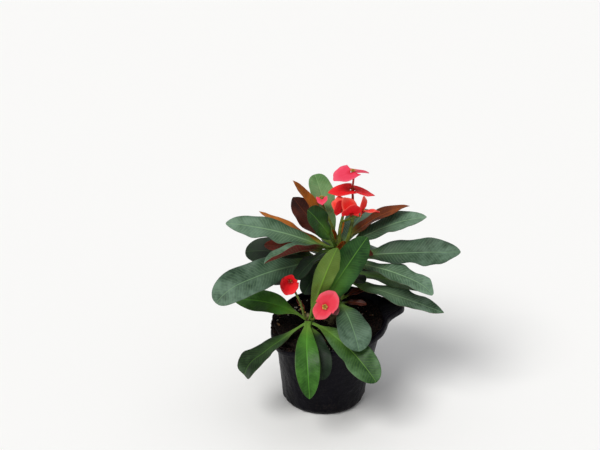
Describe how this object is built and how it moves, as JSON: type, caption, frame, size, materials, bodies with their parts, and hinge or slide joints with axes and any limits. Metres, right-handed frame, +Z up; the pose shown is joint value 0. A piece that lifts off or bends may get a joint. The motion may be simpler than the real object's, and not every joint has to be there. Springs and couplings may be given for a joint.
{
  "type": "potted euphorbia",
  "caption": "Crown-of-thorns plant with paired red bracts and long wavy leaves, growing in potting mix in a soft black nursery bag that stands on its flat base.",
  "frame": {"origin": "middle of the bag's flat base, on the surface that it stands on", "axes": "+Z up along the plant; -Y towards the plant's best side, where the lowest leaves hang over the bag; +X to the right as seen from there"},
  "size_m": [0.2856, 0.2408, 0.2954],
  "materials": {
    "bag_film": "satin",
    "potting_mix": "matte",
    "stem": "matte",
    "leaf": "satin",
    "flower_stalk": "satin",
    "bract": "satin",
    "flower_cup": "satin"
  },
  "bodies": {
    "root": {"flower_back_bract_1": "bract", "flower_back_bract_2": "bract", "flower_back_cup": "flower_cup", "flower_cluster_left_bract_1": "bract", "flower_cluster_left_bract_2": "bract", "flower_cluster_left_cup": "flower_cup", "flower_cluster_middle_bract_1": "bract", "flower_cluster_middle_bract_2": "bract", "flower_cluster_middle_cup": "flower_cup", "flower_cluster_right_bract_1": "bract", "flower_cluster_right_bract_2": "bract", "flower_cluster_right_cup": "flower_cup", "flower_front_bract_1": "bract", "flower_front_bract_2": "bract", "flower_front_cup": "flower_cup", "flower_left_bract_1": "bract", "flower_left_bract_2": "bract", "flower_left_cup": "flower_cup", "flower_top_bract_1": "bract", "flower_top_bract_2": "bract", "flower_top_cup": "flower_cup", "flower_upper_bract_1": "bract", "flower_upper_bract_2": "bract", "flower_upper_cup": "flower_cup", "grow_bag": "bag_film", "leaf_crown_01": "leaf", "leaf_crown_02": "leaf", "leaf_crown_03": "leaf", "leaf_crown_04": "leaf", "leaf_crown_05": "leaf", "leaf_crown_06": "leaf", "leaf_crown_07": "leaf", "leaf_crown_08": "leaf", "leaf_crown_09": "leaf", "leaf_crown_10": "leaf", "leaf_crown_11": "leaf", "leaf_crown_12": "leaf", "leaf_crown_13": "leaf", "leaf_crown_14": "leaf", "leaf_crown_15": "leaf", "leaf_crown_16": "leaf", "leaf_crown_17": "leaf", "leaf_crown_18": "leaf", "leaf_crown_19": "leaf", "leaf_crown_20": "leaf", "leaf_front_01": "leaf", "leaf_front_02": "leaf", "leaf_front_03": "leaf", "leaf_front_04": "leaf", "leaf_front_05": "leaf", "leaf_front_06": "leaf", "leaf_front_07": "leaf", "leaf_right_01": "leaf", "potting_mix": "potting_mix", "stalk_back": "flower_stalk", "stalk_cluster": "flower_stalk", "stalk_front": "flower_stalk", "stalk_left": "flower_stalk", "stalk_tall": "flower_stalk", "stem": "stem"}
  },
  "joints": []
}
